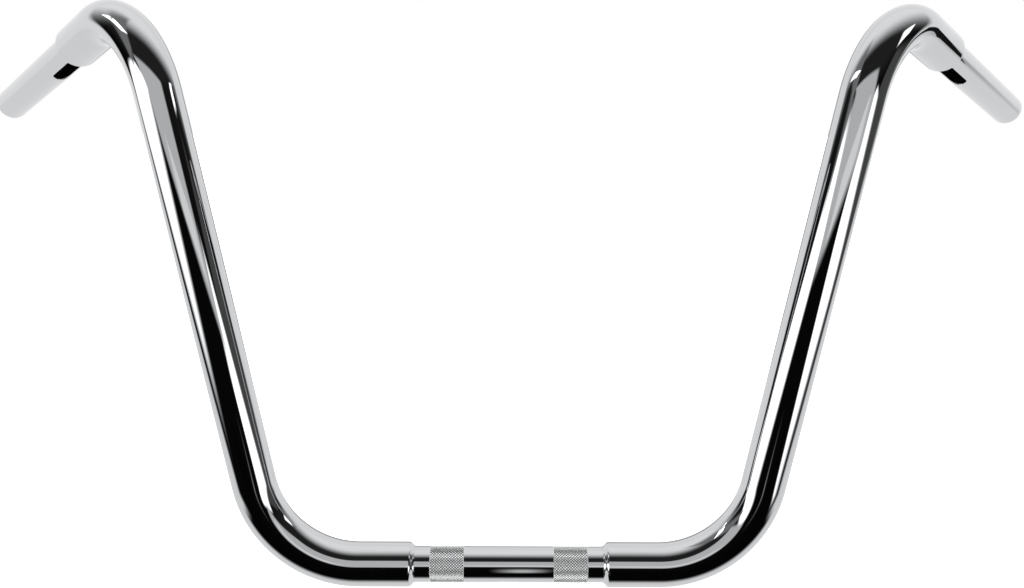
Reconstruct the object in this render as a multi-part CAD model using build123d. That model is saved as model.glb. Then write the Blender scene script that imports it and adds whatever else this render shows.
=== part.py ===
from build123d import *

import os
from math import cos, radians, sin, tan

# Ape hanger handlebar, a weldment of five steel tubes, in millimetres.
# The origin is the middle of the clamp tube, on its axis. +X runs along the clamp tube towards the
# rider's left, +Y back towards the rider and +Z up, in the plane of the two uprights.

# Tubes: a spigot turned on the end of each thin tube slips into a fat one, which is sized over it
thin_diameter = 25.4
thin_wall = 3.05
spigot_relief = 0.2
slip_clearance = 0.125
fat_wall = 3.25
lead_in = 1.0

# Clamp tube, with a knurled band under each riser and a wire exit in its underside
clamp_length = 139.7
clamp_sleeve = 32.0
riser_spacing = 88.9
knurl_width = 24.6
knurl_height = 0.2
wire_exit_length = 24.0
wire_exit_width = 14.0

# Uprights: bend radii are to the middle line, and the lean is outwards from vertical, in degrees
sleeve_to_bend = 6.1
lower_bend_radius = 76.2
upright_lean = 11.6
upright_straight = 281.5
upper_bend_radius = 57.15

# Grip tubes: pullback is measured seen from above and droop below level, in degrees
grip_pullback = 48.0
grip_droop = 15.0
grip_sleeve = 41.5
grip_length = 161.9
rim_bevel = 0.7

# Weld in the mouth of each fat tube, dressed into one slope with the tube's bevelled lip
lip_bevel = 1.6
weld_leg = 2.2

# Slot for the switch wires in the underside of each grip tube, starting just past the weld
slot_gap = 0.4
slot_length = 42.0
slot_width = 12.0
slot_corner = 1.5

thin_radius = thin_diameter / 2
thin_bore_radius = thin_radius - thin_wall
spigot_radius = thin_radius - spigot_relief
fat_bore_radius = spigot_radius + slip_clearance
fat_radius = fat_bore_radius + fat_wall

# The middle line of the left half: along the clamp tube, up the upright, then out along the grip
along_clamp = Vector(1, 0, 0)
along_upright = Vector(sin(radians(upright_lean)), 0, cos(radians(upright_lean)))
level_grip = Vector(cos(radians(grip_pullback)), sin(radians(grip_pullback)), 0)
along_grip = level_grip * cos(radians(grip_droop)) - Vector(0, 0, sin(radians(grip_droop)))


def bend_tangent(radius, before, after):
    """Length from a bend's corner to where its arc starts."""
    return radius * tan(radians(before.get_angle(after)) / 2)


lower_tangent = bend_tangent(lower_bend_radius, along_clamp, along_upright)
upper_tangent = bend_tangent(upper_bend_radius, along_upright, along_grip)
clamp_mouth = along_clamp * (clamp_length / 2)
lower_corner = clamp_mouth + along_clamp * (clamp_sleeve + sleeve_to_bend + lower_tangent)
upper_corner = lower_corner + along_upright * (lower_tangent + upright_straight + upper_tangent)
grip_mouth = upper_corner + along_grip * (upper_tangent + sleeve_to_bend + grip_sleeve)

# Frames at the two mouths of the left upright: Z runs out along the thin tube, X is its underside
clamp_frame = Plane(origin=clamp_mouth, x_dir=(0, 0, -1), z_dir=-along_clamp)
grip_underside = Vector(0, 0, -1) - along_grip * Vector(0, 0, -1).dot(along_grip)
grip_frame = Plane(origin=grip_mouth, x_dir=grip_underside, z_dir=along_grip)


def turned(points):
    """Revolves a profile, given as pairs of radius and height, about the Z axis."""
    outline = Polyline(*[(radius, 0, height) for radius, height in points], close=True)
    return revolve(make_face(outline), Axis.Z)


def spigot(sleeve):
    """Profile of a thin tube's hidden end, from its bore to the shoulder that the weld runs up to.

    Heights are from the fat tube's mouth, outwards along the thin tube.
    """
    return [
        (thin_bore_radius, -sleeve),
        (spigot_radius - lead_in, -sleeve),
        (spigot_radius, lead_in - sleeve),
        (spigot_radius, weld_leg),
        (thin_radius, weld_leg),
    ]


def clamp_tube():
    """Straight thin tube with a spigot in each upright, and the knurled bands at crest height."""
    half = [(radius, clamp_length / 2 - height) for radius, height in spigot(clamp_sleeve)]
    band_end = (riser_spacing + knurl_width) / 2
    band_start = (riser_spacing - knurl_width) / 2
    crest = thin_radius + knurl_height
    half += [(thin_radius, band_end), (crest, band_end - knurl_height)]
    half += [(crest, band_start + knurl_height), (thin_radius, band_start)]
    other_half = [(radius, -height) for radius, height in reversed(half)]
    tube = Rot(0, 90, 0) * turned(half + other_half)
    exit_hole = extrude(SlotOverall(wire_exit_length, wire_exit_width), -(thin_radius + knurl_height))
    return tube - exit_hole


def upright():
    """Fat tube swept along both bends, with a bevelled lip and a dressed weld at each mouth."""
    route = FilletPolyline(
        clamp_mouth, lower_corner, upper_corner, grip_mouth, radius=[lower_bend_radius, upper_bend_radius]
    )
    ring = Circle(fat_radius) - Circle(fat_bore_radius)
    tube = sweep(Plane(origin=clamp_mouth, z_dir=along_clamp) * ring, path=route)
    weld = turned([
        (spigot_radius, 0),
        (spigot_radius, weld_leg),
        (thin_radius, weld_leg),
        (fat_radius - lip_bevel, 0),
    ])
    for frame in (clamp_frame, grip_frame):
        mouth = tube.faces().sort_by_distance(frame.origin)[0]
        tube = chamfer(mouth.outer_wire().edge(), lip_bevel) + frame * weld
    return tube


def grip_tube():
    """Straight thin tube from inside the upright to the bar's end, with its wire slot."""
    bar_end = [
        (thin_radius, grip_length - rim_bevel),
        (thin_radius - rim_bevel, grip_length),
        (thin_bore_radius + rim_bevel, grip_length),
        (thin_bore_radius, grip_length - rim_bevel),
    ]
    slot_start = weld_leg + slot_gap
    straight_length = slot_length - slot_width / 2
    square_end = Rectangle(slot_width, straight_length)
    square_end = fillet(square_end.vertices().group_by(Axis.Y)[0], slot_corner)
    outline = Pos(0, straight_length / 2) * square_end + Pos(0, straight_length) * Circle(slot_width / 2)
    slot = extrude(Plane.YZ * Pos(0, slot_start) * outline, thin_diameter)
    return grip_frame * (turned(spigot(grip_sleeve) + bar_end) - slot)


def right_hand(shape):
    """The same piece on the rider's right."""
    return mirror(shape, about=Plane.YZ)


left_upright = upright()
left_grip_tube = grip_tube()

nodes = {
    "clamp_tube": clamp_tube(),
    "left_upright": left_upright,
    "right_upright": right_hand(left_upright),
    "left_grip_tube": left_grip_tube,
    "right_grip_tube": right_hand(left_grip_tube),
}

os.makedirs("parts", exist_ok=True)
for name, shape in nodes.items():
    export_step(shape, f"parts/{name}.step")
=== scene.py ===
from collections import namedtuple
from math import cos, pi, radians, sin

import bmesh
import bpy
import numpy as np
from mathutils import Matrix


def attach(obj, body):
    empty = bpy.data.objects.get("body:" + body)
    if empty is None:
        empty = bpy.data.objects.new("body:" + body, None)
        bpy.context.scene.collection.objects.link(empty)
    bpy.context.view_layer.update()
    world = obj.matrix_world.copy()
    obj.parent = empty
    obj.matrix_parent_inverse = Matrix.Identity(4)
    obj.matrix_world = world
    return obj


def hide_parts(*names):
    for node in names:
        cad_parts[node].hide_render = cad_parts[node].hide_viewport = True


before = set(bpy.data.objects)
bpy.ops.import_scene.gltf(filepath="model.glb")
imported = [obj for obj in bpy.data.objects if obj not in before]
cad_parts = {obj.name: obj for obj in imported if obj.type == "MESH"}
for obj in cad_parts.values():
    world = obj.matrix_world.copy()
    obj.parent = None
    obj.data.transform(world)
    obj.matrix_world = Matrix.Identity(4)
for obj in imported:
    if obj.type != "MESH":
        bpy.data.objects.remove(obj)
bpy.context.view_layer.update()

# Sizes of the bar in millimetres, as in the part's source. The origin is the middle of the clamp tube.
MM = 0.001
THIN_DIAMETER = 25.4
THIN_WALL = 3.05
SPIGOT_RELIEF = 0.2
SPIGOT_LEAD_IN = 1.0
SLIP_CLEARANCE = 0.125
FAT_WALL = 3.25
CLAMP_LENGTH = 139.7
CLAMP_SLEEVE = 32.0
GRIP_SLEEVE = 41.5
GRIP_LENGTH = 161.9
RIM_ROUND = 0.7
SLEEVE_TO_BEND = 6.1
LOWER_BEND = 76.2
UPPER_BEND = 57.15
UPRIGHT_STRAIGHT = 281.5
UPRIGHT_LEAN = radians(11.6)
GRIP_PULLBACK = radians(48.0)
GRIP_DROOP = radians(15.0)

THIN_RADIUS = THIN_DIAMETER / 2
THIN_BORE = THIN_RADIUS - THIN_WALL
SPIGOT_RADIUS = THIN_RADIUS - SPIGOT_RELIEF
FAT_BORE = SPIGOT_RADIUS + SLIP_CLEARANCE
FAT_RADIUS = FAT_BORE + FAT_WALL

# The dressed weld at each mouth: a smooth step from the thin tube up to the fat one
WELD_LEG = 2.2
WELD_TOE = 0.02
LIP_DEPTH = 2.0

# Knurled bands under the risers: diamonds between two families of crossed grooves. The real ones are
# finer, about 16 along and 52 round, but drawn like that they melt into grey at the picture's size.
RISER_SPACING = 88.9
KNURL_WIDTH = 24.6
KNURL_CREST = 0.2
KNURL_DEPTH = 0.55
KNURL_FADE = 0.6
KNURL_STEEPNESS = 1.3
DIAMONDS_ALONG = 12
DIAMONDS_ROUND = 40
SAMPLES_PER_DIAMOND = 8

# Cut-outs for the switch wires: where each starts from the mouth or middle, and its outline
SLOT_GAP = 0.4
SLOT_START = WELD_LEG + SLOT_GAP
GRIP_SLOT = {"start": SLOT_START, "length": 42.0, "width": 12.0, "near_corner": 1.5, "far_corner": 6.0}
WIRE_EXIT = {"start": -12.0, "length": 24.0, "width": 14.0, "near_corner": 7.0, "far_corner": 7.0}

# Each cut-out's rounded edge, the most it takes of the room beside it, and the skin kept past its ends
EDGE_ROUND = 0.8
EDGE_SHARE = 0.75
SLOT_MARGIN = 3.0

# Mesh steps: columns round each tube, millimetres between rows, and from an edge to the row beside it,
# which keeps the shading there from smearing
UPRIGHT_COLUMNS = 112
GRIP_COLUMNS = 120
BEND_STEP = 1.2
STRAIGHT_STEP = 4.0
EDGE_ROW = 0.05

# Rows or points on each small form
STEP_ROWS = 40
RIM_ROWS = 5
SLOT_ROWS = 40
CORNER_POINTS = 24
SPREAD_ROWS = 6
ROUNDING_ROWS = 6
WALL_ROWS = 3

# The patch that each cut-out takes of its tube: its columns, and half its angle on the skin and in the bore
GRIP_CUT_COLUMNS = 32
GRIP_CUT_HALF = radians(48.0)
CLAMP_CUT_HALF = radians(45.0)
BORE_CUT_HALF = radians(60.0)

# Points this close are one point, in metres, and heights this close are one height, in millimetres
MERGE_DISTANCE = 1e-7
TOLERANCE = 1e-9

# The order of the finishes on each piece
PLATE, SCALE, KNURLING = range(3)

ALONG_CLAMP = np.array([1.0, 0.0, 0.0])
ALONG_UPRIGHT = np.array([sin(UPRIGHT_LEAN), 0.0, cos(UPRIGHT_LEAN)])
ALONG_GRIP = np.array([
    cos(GRIP_DROOP) * cos(GRIP_PULLBACK),
    cos(GRIP_DROOP) * sin(GRIP_PULLBACK),
    -sin(GRIP_DROOP),
])
DOWN = np.array([0.0, 0.0, -1.0])


def unit(vector):
    return vector / np.linalg.norm(vector)


def smoothstep(t):
    """3t^2 - 2t^3 between 0 and 1, flat outside."""
    t = np.clip(t, 0.0, 1.0)
    return t * t * (3 - 2 * t)


def turned_about(axis, vector, angle):
    """A vector turned about a unit axis by each of some angles: v cos + (a x v) sin + a (a.v)(1 - cos)."""
    c, s = np.cos(angle)[:, None], np.sin(angle)[:, None]
    return vector * c + np.cross(axis, vector) * s + axis * (axis @ vector) * (1 - c)


Stretch = namedtuple("Stretch", "start place direction side axis radius")


class Route:
    """The middle line of the left upright: three straights joined by two tangent arcs.

    A stretch is one straight or arc: the length at which it starts, its place, direction and side
    vector there, and for an arc the axis it turns about and its radius.
    """

    def __init__(self):
        start = ALONG_CLAMP * CLAMP_LENGTH / 2
        straights = [CLAMP_SLEEVE + SLEEVE_TO_BEND, UPRIGHT_STRAIGHT, SLEEVE_TO_BEND + GRIP_SLEEVE]
        directions = [ALONG_CLAMP, ALONG_UPRIGHT, ALONG_GRIP]
        radii = [LOWER_BEND, UPPER_BEND]
        self.stretches = []
        place, side, travelled = start, DOWN, 0.0
        for k, direction in enumerate(directions):
            self.stretches.append(Stretch(travelled, place, direction, side, None, None))
            place = place + direction * straights[k]
            travelled += straights[k]
            if k < len(radii):
                axis = unit(np.cross(direction, directions[k + 1]))
                angle = np.arccos(direction @ directions[k + 1])
                self.stretches.append(Stretch(travelled, place, direction, side, axis, radii[k]))
                inwards = np.cross(axis, direction)
                place = place + radii[k] * (inwards * (1 - cos(angle)) + direction * sin(angle))
                side = turned_about(axis, side, np.array([angle]))[0]
                travelled += radii[k] * angle
        self.length = travelled
        self.end = place

    def stations(self):
        """Lengths along the line, closer together on the arcs than on the straights."""
        starts = [stretch.start for stretch in self.stretches] + [self.length]
        spans = []
        for stretch, low, high in zip(self.stretches, starts, starts[1:]):
            step = STRAIGHT_STEP if stretch.axis is None else BEND_STEP
            spans.append(np.linspace(low, high, int((high - low) / step) + 2)[:-1])
        return np.concatenate(spans + [[self.length]])

    def frames(self, lengths):
        """Place, side and cross vectors at each length; both ends run on straight past the line."""
        place = np.zeros((len(lengths), 3))
        side = np.zeros((len(lengths), 3))
        along = np.zeros((len(lengths), 3))
        starts = np.array([stretch.start for stretch in self.stretches])
        which = np.clip(np.searchsorted(starts, lengths, side="right") - 1, 0, None)
        for k, (start, origin, direction, across, axis, radius) in enumerate(self.stretches):
            here = which == k
            gone = lengths[here] - start
            if axis is None:
                place[here] = origin + direction * gone[:, None]
                side[here] = across
                along[here] = direction
            else:
                angle = gone / radius
                inwards = np.cross(axis, direction)
                bow = inwards * (1 - np.cos(angle))[:, None] + direction * np.sin(angle)[:, None]
                place[here] = origin + radius * bow
                side[here] = turned_about(axis, across, angle)
                along[here] = turned_about(axis, direction, angle)
        return place, side, np.cross(along, side)


def ring_faces(rows, columns):
    """Quads of a grid that closes on itself both ways, facing out of a tube swept along its rows."""
    i, j = np.meshgrid(np.arange(rows), np.arange(columns), indexing="ij")
    after, beside = (i + 1) % rows, (j + 1) % columns
    corners = [i * columns + j, i * columns + beside, after * columns + beside, after * columns + j]
    return np.stack(corners, -1).reshape(-1, 4)


def make_piece(name, vertices, faces, materials, face_material, smooth, mirrored, groove_shade=None):
    """Puts arrays in millimetres into a mesh object at the origin, with doubles merged."""
    vertices = vertices.reshape(-1, 3) * MM
    if mirrored:
        vertices = vertices * np.array([-1.0, 1.0, 1.0])
        faces = faces[:, ::-1]
    mesh = bpy.data.meshes.new(name)
    mesh.from_pydata(vertices.tolist(), [], faces.tolist())
    mesh.polygons.foreach_set("material_index", face_material.astype(np.int32))
    mesh.polygons.foreach_set("use_smooth", smooth)
    for material in materials:
        mesh.materials.append(material)
    # groove_shade: how deep each point lies in a knurl groove, which the knurl's material paints as shade.
    if groove_shade is not None:
        mesh.attributes.new("groove_shade", "FLOAT", "POINT").data.foreach_set("value", groove_shade)
    shell = bmesh.new()
    shell.from_mesh(mesh)
    bmesh.ops.remove_doubles(shell, verts=shell.verts, dist=MERGE_DISTANCE)
    shell.to_mesh(mesh)
    shell.free()
    piece = bpy.data.objects.new(name, mesh)
    bpy.context.scene.collection.objects.link(piece)
    return piece


def upright_piece(name, route, mirrored, materials):
    """Fat tube: a circle carried along the route, out along the skin and back along the bore.

    Near a mouth the skin's radius is thin + (fat - thin) times the smooth step of the length past
    the weld's toe, so that the lip, the weld and the thin tube run into each other.
    """
    step = np.linspace(-WELD_LEG, LIP_DEPTH, STEP_ROWS)
    stations = route.stations()
    middle = stations[(stations > LIP_DEPTH) & (stations < route.length - LIP_DEPTH)]
    skin = np.concatenate([step, middle, route.length - step[::-1]])
    past_toe = np.minimum(skin, route.length - skin) + WELD_LEG
    rise = smoothstep(past_toe / (WELD_LEG + LIP_DEPTH))
    toe_radius = THIN_RADIUS + WELD_TOE
    skin_radius = toe_radius + (FAT_RADIUS - toe_radius) * rise
    near_mouth = [-WELD_LEG, 0.0, 0.0]
    far_mouth = [route.length, route.length, route.length + WELD_LEG]
    bore = np.concatenate([near_mouth, middle, far_mouth])[::-1]
    bore_radius = np.full(len(bore), FAT_BORE)
    under_the_welds = [0, 1, -2, -1]
    bore_radius[under_the_welds] = SPIGOT_RADIUS
    lengths = np.concatenate([skin, bore])
    radius = np.concatenate([skin_radius, bore_radius])
    place, side, cross = route.frames(lengths)
    turn = np.arange(UPRIGHT_COLUMNS) * 2 * pi / UPRIGHT_COLUMNS
    circle = side[:, None] * np.cos(turn)[:, None] + cross[:, None] * np.sin(turn)[:, None]
    vertices = place[:, None] + radius[:, None, None] * circle
    faces = ring_faces(len(lengths), UPRIGHT_COLUMNS)
    row = faces[:, 0] // UPRIGHT_COLUMNS
    face_material = np.where(row >= len(skin) - 1, SCALE, PLATE)
    smooth = np.ones(len(faces), bool)
    return make_piece(name, vertices, faces, materials, face_material, smooth, mirrored)


def even_along(points, count):
    """Points at equal lengths along a polyline, its last point left out."""
    gone = np.concatenate([[0], np.cumsum(np.linalg.norm(np.diff(points, axis=0), axis=1))])
    at = np.linspace(0, gone[-1], count + 1)[:-1]
    return np.stack([np.interp(at, gone, points[:, k]) for k in range(2)], 1)


def slot_outline(cut, round_end, straight):
    """Outline of a cut-out as (across, along) pairs: near end, side, far end and other side.

    Each end is two quarter circles of its corner's radius with a flat between them.
    """
    half = cut["width"] / 2
    near, far = cut["start"], cut["start"] + cut["length"]
    quarter = np.linspace(0, pi / 2, CORNER_POINTS)

    def end(radius):
        """From one side to the other, with the end's edge at height 0 and the sides above it."""
        bow = np.stack([half - radius + radius * np.cos(quarter), radius - radius * np.sin(quarter)], 1)
        return np.concatenate([bow * [-1, 1], bow[::-1]])

    near_end = even_along(end(cut["near_corner"]) + [0, near], round_end)
    far_end = even_along(end(cut["far_corner"])[::-1] * [1, -1] + [0, far], round_end)
    low, high = near + cut["near_corner"], far - cut["far_corner"]
    side = np.stack([np.full(straight, half), np.linspace(low, high, straight + 1)[:-1]], 1)
    other = np.stack([np.full(straight, -half), np.linspace(high, low, straight + 1)[:-1]], 1)
    return np.concatenate([near_end, side, far_end, other])


def slot_patch(cut, zone, columns, outer_half, bore_half):
    """The skin round a cut-out, its rounded edge, its wall and the bore round it, as one grid.

    One parameter goes round the outline and the other from a rectangle on the skin, over the edge,
    through the wall and out to a rectangle on the bore. Points are (underside, across, along).
    """
    outline = slot_outline(cut, columns, len(zone) - 1)
    ahead = np.roll(outline, -1, 0) - np.roll(outline, 1, 0)
    outwards = np.stack([ahead[:, 1], -ahead[:, 0]], 1)
    outwards /= np.linalg.norm(outwards, axis=1, keepdims=True)

    def rectangle(half):
        """Angle and height round the edge of the patch, in step with the outline."""
        across = np.linspace(-half, half, columns + 1)
        near = np.stack([across[:-1], np.full(columns, zone[0])], 1)
        side = np.stack([np.full(len(zone) - 1, half), zone[:-1]], 1)
        far = np.stack([across[:0:-1], np.full(columns, zone[-1])], 1)
        other = np.stack([np.full(len(zone) - 1, -half), zone[:0:-1]], 1)
        return np.concatenate([near, side, far, other])

    def on_skin(angle, height, radius):
        return np.stack([radius * np.cos(angle), radius * np.sin(angle), height], -1)

    def spread(edge, half, radius):
        """Rows on a cylinder from its rectangle to an edge given as (across, along) pairs."""
        frame_points = rectangle(half)
        edge_points = np.stack([np.arcsin(edge[:, 0] / radius), edge[:, 1]], 1)
        share = np.linspace(0, 1, SPREAD_ROWS)[:, None, None]
        grid = frame_points * (1 - share) + edge_points * share
        return on_skin(grid[..., 0], grid[..., 1], radius)

    rounding = np.linspace(0, pi / 2, ROUNDING_ROWS + 1)[1:, None]
    ease = np.minimum(EDGE_ROUND, EDGE_SHARE * (outline[:, 1] - zone[0]))
    rim = outline + outwards * ease[:, None]
    edge = outline + outwards * (ease * (1 - np.sin(rounding)))[..., None]
    sunk = ease * (1 - np.cos(rounding))
    lip = np.stack([np.sqrt(THIN_RADIUS**2 - edge[..., 0] ** 2) - sunk, edge[..., 0], edge[..., 1]], -1)
    bore_edge = on_skin(np.arcsin(outline[:, 0] / THIN_BORE), outline[:, 1], THIN_BORE)
    depth = np.linspace(0, 1, WALL_ROWS + 2)[1:-1, None, None]
    wall = lip[-1] * (1 - depth) + bore_edge * depth
    inner = spread(outline, bore_half, THIN_BORE)[::-1]
    return np.concatenate([spread(rim, outer_half, THIN_RADIUS), lip, wall, inner])


def column_angles(columns, cut_columns, half):
    """Angles of a tube's columns from its underside: evenly over the cut-out's patch, then over the rest."""
    return np.concatenate([
        np.linspace(-half, half, cut_columns + 1)[:-1],
        np.linspace(half, 2 * pi - half, columns - cut_columns + 1)[:-1],
    ])


def tube_piece(name, skin, bore, cut, zone, angles, place, axes, mirrored, materials, knurled=None):
    """Thin tube: a circle carried along a straight axis, out along the skin and back along the bore.

    skin is heights and, for each height, a radius for every column. bore is heights and one radius for
    each. Both hold the rows of zone, the stretch that the cut-out's patch takes up. angles is the number
    of columns, the number of them that the patch takes, and half its angle on the skin and in the bore.
    """
    columns, cut_columns, outer_half, bore_half = angles
    skin_angles, bore_angles = [column_angles(columns, cut_columns, half) for half in (outer_half, bore_half)]
    heights = np.concatenate([skin[0], bore[0]])
    radius = np.concatenate([skin[1], np.repeat(bore[1][:, None], columns, 1)])
    outside = np.arange(len(heights)) < len(skin[0])
    angle = np.where(outside[:, None], skin_angles, bore_angles)
    height = np.repeat(heights[:, None], columns, 1)
    local = np.stack([radius * np.cos(angle), radius * np.sin(angle), height], -1)
    faces = ring_faces(len(heights), columns)
    row, column = faces[:, 0] // columns, faces[:, 0] % columns
    after = (row + 1) % len(heights)
    between = np.minimum(heights[row], heights[after]) >= zone[0] - TOLERANCE
    between &= np.maximum(heights[row], heights[after]) <= zone[-1] + TOLERANCE
    between &= heights[row] != heights[after]
    kept = ~(between & (column < cut_columns))
    faces, row = faces[kept], row[kept]
    patch = slot_patch(cut, zone, cut_columns, outer_half, bore_half)
    rows, round_slot = patch.shape[:2]
    patch_faces = ring_faces(rows, round_slot)
    patch_row = patch_faces[:, 0] // round_slot
    patch_faces = patch_faces[patch_row < rows - 1]
    patch_row = patch_row[patch_row < rows - 1]
    vertices = np.concatenate([local.reshape(-1, 3), patch.reshape(-1, 3)])
    inside = np.concatenate([row >= len(skin[0]), patch_row >= rows - SPREAD_ROWS])
    face_material = np.where(inside, SCALE, PLATE)
    smooth = np.ones(len(inside), bool)
    groove_shade = None
    if knurled is not None:
        on_knurl = np.nonzero(np.isin(row, knurled))[0]
        smooth[on_knurl] = False
        face_material[on_knurl] = KNURLING
        # Painted shade for the knurl: each point's depth in a groove, from 0 on the crests to 1 at the
        # bottom.
        deep = KNURL_CREST - (radius - THIN_RADIUS)
        groove_shade = np.zeros(len(vertices))
        groove_shade[:radius.size] = np.clip(deep / KNURL_DEPTH, 0, 1).ravel()
    faces = np.concatenate([faces, patch_faces + radius.size])
    vertices = place + vertices @ np.array(axes)
    return make_piece(name, vertices, faces, materials, face_material, smooth, mirrored, groove_shade)


def rounded_rim(height, outer, inner, radius):
    """(height, radius) pairs over the end of a tube, with both its edges rounded."""
    turn = np.linspace(0, pi / 2, RIM_ROWS)
    over = [(height - radius + radius * sin(t), outer - radius + radius * cos(t)) for t in turn]
    under = [(height - radius + radius * cos(t), inner + radius - radius * sin(t)) for t in turn]
    return over + under


def rows_between(low, high, step):
    """Heights from low to high at about a step apart, both ends left out."""
    return np.linspace(low, high, max(int((high - low) / step), 1) + 1)[1:-1]


def grip_piece(name, route, mirrored, materials):
    """Thin tube from its spigot inside the upright to the open, rounded bar end, with the wire slot."""
    slot_end = GRIP_SLOT["start"] + GRIP_SLOT["length"]
    zone = np.linspace(WELD_LEG, slot_end + SLOT_MARGIN, SLOT_ROWS + 1)
    zone = np.insert(zone, 1, WELD_LEG + EDGE_ROW)
    rim = np.array(rounded_rim(GRIP_LENGTH, THIN_RADIUS, THIN_BORE, RIM_ROUND))
    spigot = [
        (-GRIP_SLEEVE, SPIGOT_RADIUS - SPIGOT_LEAD_IN),
        (SPIGOT_LEAD_IN - GRIP_SLEEVE, SPIGOT_RADIUS),
        (0.0, SPIGOT_RADIUS),
        (WELD_LEG, SPIGOT_RADIUS),
    ]
    plain = rows_between(zone[-1], GRIP_LENGTH - RIM_ROUND, STRAIGHT_STEP)
    skin_rows = np.concatenate([
        spigot,
        np.stack([zone, np.full(len(zone), THIN_RADIUS)], 1),
        np.stack([plain, np.full(len(plain), THIN_RADIUS)], 1),
        rim,
    ])
    bore_heights = np.concatenate([plain[::-1], zone[::-1], [0.0, -GRIP_SLEEVE]])
    skin = (skin_rows[:, 0], np.repeat(skin_rows[:, 1:], GRIP_COLUMNS, 1))
    bore = (bore_heights, np.full(len(bore_heights), THIN_BORE))
    under = unit(DOWN - ALONG_GRIP * (DOWN @ ALONG_GRIP))
    axes = [under, np.cross(ALONG_GRIP, under), ALONG_GRIP]
    angles = (GRIP_COLUMNS, GRIP_CUT_COLUMNS, GRIP_CUT_HALF, BORE_CUT_HALF)
    return tube_piece(name, skin, bore, GRIP_SLOT, zone, angles, route.end, axes, mirrored, materials)


def knurl_height(turn, height):
    """Diamonds: the lower of two triangle waves, one along each family of grooves, cut off flat on top."""
    around = turn / (2 * pi) * DIAMONDS_ROUND
    along = height / KNURL_WIDTH * DIAMONDS_ALONG
    waves = [np.abs(2 * ((around + sign * along) % 1.0) - 1) for sign in (1, -1)]
    diamond = np.clip(np.minimum(*waves) * KNURL_STEEPNESS, 0, 1)
    fade = smoothstep((KNURL_WIDTH / 2 - np.abs(height)) / KNURL_FADE)
    return fade * (KNURL_CREST - KNURL_DEPTH * (1 - diamond))


def clamp_piece(name, materials):
    """Thin tube across the middle, with a spigot in each upright, knurled bands and the wire exit."""
    columns = DIAMONDS_ROUND * SAMPLES_PER_DIAMOND
    cut_columns = round(columns * CLAMP_CUT_HALF / pi)
    turn = column_angles(columns, cut_columns, CLAMP_CUT_HALF)
    half_zone = WIRE_EXIT["length"] / 2 + SLOT_MARGIN
    zone = np.linspace(-half_zone, half_zone, SLOT_ROWS + 1)
    half_knurl = KNURL_WIDTH / 2
    knurl_rows = np.linspace(-half_knurl, half_knurl, DIAMONDS_ALONG * SAMPLES_PER_DIAMOND + 1)
    shoulder = CLAMP_LENGTH / 2 - WELD_LEG
    end = CLAMP_LENGTH / 2 + CLAMP_SLEEVE
    band = RISER_SPACING / 2 + knurl_rows
    inner_plain = rows_between(zone[-1], band[0], STRAIGHT_STEP)
    outer_plain = rows_between(band[-1], shoulder, STRAIGHT_STEP)
    half = np.concatenate([
        inner_plain, [band[0] - EDGE_ROW], band, [band[-1] + EDGE_ROW],
        outer_plain, [shoulder - EDGE_ROW, shoulder],
    ])
    heights = np.concatenate([-half[::-1], zone, half])
    from_band = np.abs(heights) - RISER_SPACING / 2
    on_band = np.abs(from_band) <= half_knurl + TOLERANCE
    radius = np.full((len(heights), columns), THIN_RADIUS)
    radius[on_band] += knurl_height(turn[None], from_band[on_band][:, None])
    spigot_heights = np.array([shoulder, CLAMP_LENGTH / 2, end - SPIGOT_LEAD_IN, end])
    spigot_radius = np.array([SPIGOT_RADIUS, SPIGOT_RADIUS, SPIGOT_RADIUS, SPIGOT_RADIUS - SPIGOT_LEAD_IN])
    spigot_rows = np.repeat(spigot_radius[:, None], columns, 1)
    skin = (
        np.concatenate([-spigot_heights[::-1], heights, spigot_heights]),
        np.concatenate([spigot_rows[::-1], radius, spigot_rows]),
    )
    bore_half = np.array([zone[-1] + STRAIGHT_STEP, shoulder, end])
    bore_heights = np.concatenate([bore_half[::-1], zone[::-1], -bore_half])
    bore = (bore_heights, np.full(len(bore_heights), THIN_BORE))
    knurled = len(spigot_heights) + np.nonzero(on_band[:-1] & on_band[1:])[0]
    axes = [DOWN, np.cross(ALONG_CLAMP, DOWN), ALONG_CLAMP]
    angles = (columns, cut_columns, CLAMP_CUT_HALF, BORE_CUT_HALF)
    return tube_piece(
        name, skin, bore, WIRE_EXIT, zone, angles, np.zeros(3), axes, False, materials, knurled
    )


def linear(hex_colour):
    """An sRGB hex colour as linear RGBA."""
    srgb = np.array([int(hex_colour[k:k + 2], 16) for k in (1, 3, 5)]) / 255
    rgb = np.where(srgb <= 0.04045, srgb / 12.92, ((srgb + 0.055) / 1.055) ** 2.4)
    return (*rgb.tolist(), 1.0)


def add_node(tree, kind, inputs=None, **settings):
    """Adds a node with its settings; an input is a value, or a socket to link from."""
    made = tree.nodes.new(kind)
    for key, value in settings.items():
        setattr(made, key, value)
    for key, value in (inputs or {}).items():
        if isinstance(value, bpy.types.NodeSocket):
            tree.links.new(value, made.inputs[key])
        else:
            made.inputs[key].default_value = value
    return made


def new_material(name):
    """An empty material and its node tree."""
    material = bpy.data.materials.new(name)
    material.use_nodes = True
    material.node_tree.nodes.clear()
    return material, material.node_tree


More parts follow.
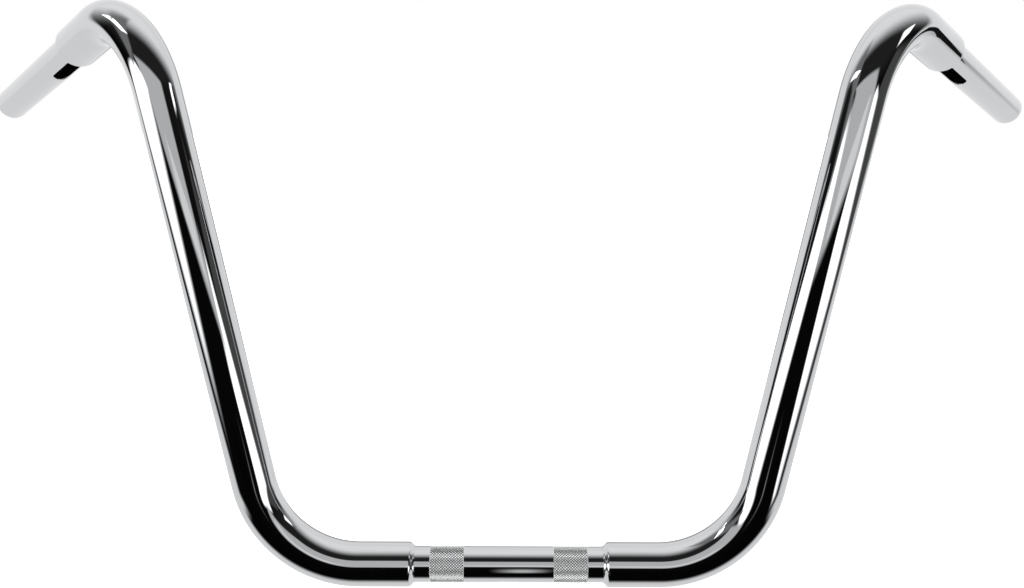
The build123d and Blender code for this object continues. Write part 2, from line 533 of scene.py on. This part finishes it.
def chrome_plate():
    """Bright chrome on buffed steel: a near mirror with the low waves that the buffing wheel leaves."""
    material, tree = new_material("bright_chrome_plate")
    place = add_node(tree, "ShaderNodeTexCoord").outputs["Object"]
    wave_mm, haze_mm = 14.0, 3.0
    waves = add_node(tree, "ShaderNodeTexNoise", {
        "Vector": place, "Scale": 1 / (wave_mm * MM), "Detail": 1.0})
    haze = add_node(tree, "ShaderNodeTexNoise", {
        "Vector": place, "Scale": 1 / (haze_mm * MM), "Detail": 3.0})
    gloss = add_node(tree, "ShaderNodeMapRange", {
        "Value": haze.outputs["Fac"], "From Min": 0.3, "From Max": 0.7, "To Min": 0.01, "To Max": 0.03})
    bump = add_node(tree, "ShaderNodeBump", {
        "Height": waves.outputs["Fac"], "Strength": 0.2, "Distance": 0.02 * MM})
    chrome = add_node(tree, "ShaderNodeBsdfPrincipled", {
        "Base Color": linear("#CDCED0"), "Metallic": 1.0,
        "Roughness": gloss.outputs["Result"], "Normal": bump.outputs["Normal"]})
    add_node(tree, "ShaderNodeOutputMaterial", {"Surface": chrome.outputs["BSDF"]})
    return material


def knurled_chrome():
    """Chrome over rolled knurling: rougher than the plain plate, pale crests over grooves darkened with
    painted shade.
    """
    material, tree = new_material("knurled_chrome_painted_groove_shade")
    place = add_node(tree, "ShaderNodeTexCoord").outputs["Object"]
    grit_mm = 0.4
    grit = add_node(tree, "ShaderNodeTexNoise", {
        "Vector": place, "Scale": 1 / (grit_mm * MM), "Detail": 2.0})
    gloss = add_node(tree, "ShaderNodeMapRange", {
        "Value": grit.outputs["Fac"], "From Min": 0.3, "From Max": 0.7, "To Min": 0.2, "To Max": 0.26})
    # Painted shade: the colour runs from pale on the crests to near black the deeper a point lies in a
    # groove.
    groove_shade = add_node(tree, "ShaderNodeAttribute", attribute_name="groove_shade").outputs["Fac"]
    depth = add_node(tree, "ShaderNodeMapRange", {"Value": groove_shade, "From Min": 0.3, "From Max": 0.9})
    colour = add_node(tree, "ShaderNodeMix", {
        "Factor": depth.outputs["Result"], "A": linear("#FAFBFC"), "B": linear("#262627")}, data_type="RGBA")
    chrome = add_node(tree, "ShaderNodeBsdfPrincipled", {
        "Base Color": colour.outputs["Result"], "Metallic": 0.65, "Roughness": gloss.outputs["Result"]})
    add_node(tree, "ShaderNodeOutputMaterial", {"Surface": chrome.outputs["BSDF"]})
    return material


def mill_scale():
    """Unplated steel inside the tubes: the dull, dark scale of drawn tube, in patches."""
    material, tree = new_material("mill_scale_steel")
    place = add_node(tree, "ShaderNodeTexCoord").outputs["Object"]
    scale_mm = 2.5
    patches = add_node(tree, "ShaderNodeTexNoise", {
        "Vector": place, "Scale": 1 / (scale_mm * MM), "Detail": 4.0})
    colour = add_node(tree, "ShaderNodeMix", {
        "Factor": patches.outputs["Fac"], "A": linear("#161515"), "B": linear("#2B2A29")}, data_type="RGBA")
    steel = add_node(tree, "ShaderNodeBsdfPrincipled", {
        "Base Color": colour.outputs["Result"], "Metallic": 0.6, "Roughness": 0.7})
    add_node(tree, "ShaderNodeOutputMaterial", {"Surface": steel.outputs["BSDF"]})
    return material


finishes = [chrome_plate(), mill_scale(), knurled_chrome()]
route = Route()
pieces = {"clamp_tube": clamp_piece("chromed_clamp_tube", finishes)}
for form, make in (("upright", upright_piece), ("grip_tube", grip_piece)):
    for side, mirrored in (("left", False), ("right", True)):
        pieces[f"{side}_{form}"] = make(f"chromed_{side}_{form}", route, mirrored, finishes[:KNURLING])
for node, piece in pieces.items():
    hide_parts(node)
    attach(piece, "root")

# Floor: a sheet of paper lit until it burns out to white, as round a product on a light table, just under
# the bar and in metres. The chrome mirrors the cards instead of it.
FLOOR_HEIGHT = -0.0165
FLOOR_REACH = 15.0

# Soft cards that only the chrome sees, each a parallelogram in metres: its middle, its two half edges,
# its brightness against the white backdrop, and the share of a half edge over which it fades out.
# The dark sheet lies 2 mm above the white one.
CARDS = {
    "white_sheet_below": ((0.0, 2.05, -0.57), (-3.0, 1.65, 0.0), (3.0, 1.65, 0.0), 0.93, 0.1),
    "dark_sheet_in_front": ((0.0, -1.2, -0.568), (1.15, 0.0, 0.0), (0.0, 1.2, 0.0), 0.002, 0.25),
    "left_softbox": ((-2.65, -1.5, 0.35), (0.35, -1.6, 0.85), (-1.3, 0.85, 0.3), 2.2, 0.35),
    "right_softbox": ((1.7, -1.6, -0.2), (0.1, -1.0, 0.45), (0.25, 0.55, 0.4), 2.1, 0.35),
    "upper_left_softbox": ((-1.6, -0.25, 1.5), (0.15, -0.5, 0.1), (0.15, -0.15, 0.15), 3.0, 0.15),
    "upper_right_softbox": ((1.25, -0.1, 0.8), (-0.15, 0.1, 0.05), (0.35, 0.15, 0.1), 2.1, 0.35),
    "wall_behind_camera": ((-0.05, -1.65, 0.6), (1.5, 0.0, -0.1), (-0.45, 0.4, 0.5), 0.65, 0.25),
    "strip_light_by_camera": ((0.3, -1.45, 0.3), (0.6, 0.0, 0.0), (0.0, 0.0, 0.1), 0.95, 0.4),
    "reflector_below_camera": ((0.02, -0.75, -0.3), (0.05, 0.0, 0.0), (0.0, 0.0, 0.3), 0.7, 1.0),
    "left_wall": ((-2.0, -0.9, 1.7), (-1.3, -1.4, -0.55), (0.5, -0.15, 0.8), 0.22, 0.5),
    "right_wall": ((2.5, -0.65, 0.25), (0.05, 0.8, 0.5), (0.95, -1.0, 0.65), 0.08, 0.4),
    "dark_flag_on_the_right": ((1.05, 0.33, 0.28), (-0.01, 0.03, 0.0), (0.0, 0.0, 0.15), 0.01, 0.2),
}

# The room that the chrome sees between the cards: black below the horizon in front. Each change leads to
# another brightness, along the direction given, from the first to the second measure of it.
ROOM_FRONT = 0.003
ROOM_CHANGES = {
    "above_the_horizon": ((0.0, 0.0, 1.0), 0.0, 0.5, 0.02),
    "overhead": ((0.0, 1.0, 1.0), 0.3, 1.15, 1.08),
    "behind": ((0.0, 1.0, -0.3), 0.22, 0.35, 1.0),
    "straight_behind": ((0.0, 1.0, 0.0), 0.93, 0.97, 0.45),
}


def parallelogram(name, middle, half, other_half, material):
    """Flat stage card, middle + u half + v other_half, with u and v from -1 to 1 kept as its UV map."""
    corners = np.array([(-1.0, -1.0), (1.0, -1.0), (1.0, 1.0), (-1.0, 1.0)])
    mesh = bpy.data.meshes.new(name)
    places = np.array(middle) + corners @ np.array([half, other_half])
    mesh.from_pydata(places.tolist(), [], [(0, 1, 2, 3)])
    mesh.uv_layers.new(name="card").data.foreach_set("uv", corners.ravel())
    mesh.materials.append(material)
    card = bpy.data.objects.new(name, mesh)
    bpy.context.scene.collection.objects.link(card)
    return card


def lit_cloth(name, brightness, fade):
    """Front cloth of a soft box: even light that thins out to nothing towards the edges."""
    material, tree = new_material(name)
    uv = add_node(tree, "ShaderNodeUVMap", uv_map="card").outputs["UV"]
    from_middle = add_node(tree, "ShaderNodeVectorMath", {0: uv}, operation="ABSOLUTE")
    sides = add_node(tree, "ShaderNodeSeparateXYZ", {0: from_middle.outputs["Vector"]})
    shares = [
        add_node(tree, "ShaderNodeMapRange", {
            "Value": sides.outputs[axis], "From Min": 1.0, "From Max": 1.0 - fade,
        }, interpolation_type="SMOOTHSTEP").outputs["Result"]
        for axis in "XY"
    ]
    share = add_node(tree, "ShaderNodeMath", {0: shares[0], 1: shares[1]}, operation="MULTIPLY")
    clear = add_node(tree, "ShaderNodeBsdfTransparent")
    glow = add_node(tree, "ShaderNodeEmission", {"Strength": brightness})
    cloth = add_node(tree, "ShaderNodeMixShader", {
        0: share.outputs["Value"], 1: clear.outputs["BSDF"], 2: glow.outputs["Emission"]})
    add_node(tree, "ShaderNodeOutputMaterial", {"Surface": cloth.outputs["Shader"]})
    return material


def studio_room():
    """White all round for the camera and for plain light, and the dark room for the chrome alone."""
    world = bpy.data.worlds.new("studio_room")
    world.use_nodes = True
    world.cycles.sampling_method = "NONE"
    tree = world.node_tree
    tree.nodes.clear()
    towards = add_node(tree, "ShaderNodeTexCoord").outputs["Generated"]
    brightness = ROOM_FRONT
    for direction, low, high, beyond in ROOM_CHANGES.values():
        reach = add_node(tree, "ShaderNodeVectorMath", {0: towards, 1: direction}, operation="DOT_PRODUCT")
        share = add_node(tree, "ShaderNodeMapRange", {
            "Value": reach.outputs["Value"], "From Min": low, "From Max": high,
        }, interpolation_type="SMOOTHSTEP")
        brightness = add_node(tree, "ShaderNodeMix", {
            "Factor": share.outputs["Result"], "A": brightness, "B": beyond}).outputs["Result"]
    mirrored = add_node(tree, "ShaderNodeLightPath").outputs["Is Glossy Ray"]
    strength = add_node(tree, "ShaderNodeMix", {"Factor": mirrored, "A": 1.0, "B": brightness})
    sky = add_node(tree, "ShaderNodeBackground", {
        "Color": linear("#FFFFFF"), "Strength": strength.outputs["Result"]})
    add_node(tree, "ShaderNodeOutputWorld", {"Surface": sky.outputs["Background"]})
    return world


paper, paper_tree = new_material("white_paper_sweep")
sheet = add_node(paper_tree, "ShaderNodeBsdfPrincipled", {
    "Base Color": linear("#F4F4F2"), "Roughness": 0.9,
    "Emission Color": linear("#FFFFFF"), "Emission Strength": 1.0})
add_node(paper_tree, "ShaderNodeOutputMaterial", {"Surface": sheet.outputs["BSDF"]})
floor = parallelogram(
    "floor", (0.0, 0.0, FLOOR_HEIGHT), (FLOOR_REACH, 0.0, 0.0), (0.0, FLOOR_REACH, 0.0), paper)
floor.visible_glossy = False

for card_name, (middle, half, other_half, brightness, fade) in CARDS.items():
    cloth = lit_cloth(card_name + "_cloth", brightness, fade)
    card = parallelogram(card_name, middle, half, other_half, cloth)
    for ray in ("camera", "diffuse", "transmission", "volume_scatter", "shadow"):
        setattr(card, "visible_" + ray, False)

bpy.context.scene.world = studio_room()

# Camera at the photograph's angle: place in metres, turn in degrees, lens and sensor in millimetres
CAMERA_PLACE = (-0.0002, -0.7222, 0.3245)
CAMERA_TURN = (81.546, -0.305, -0.275)
LENS = 36.934
SENSOR_WIDTH = 36.0
SHIFT_X, SHIFT_Y = -0.00358, -0.02537
CLIP_START = 0.01

camera_data = bpy.data.cameras.new("camera")
camera_data.sensor_width = SENSOR_WIDTH
camera_data.lens = LENS
camera_data.shift_x = SHIFT_X
camera_data.shift_y = SHIFT_Y
camera_data.clip_start = CLIP_START
camera = bpy.data.objects.new("camera", camera_data)
camera.location = CAMERA_PLACE
camera.rotation_euler = [radians(turn) for turn in CAMERA_TURN]
bpy.context.scene.collection.objects.link(camera)
bpy.context.scene.camera = camera
bpy.context.scene.view_settings.view_transform = "Standard"
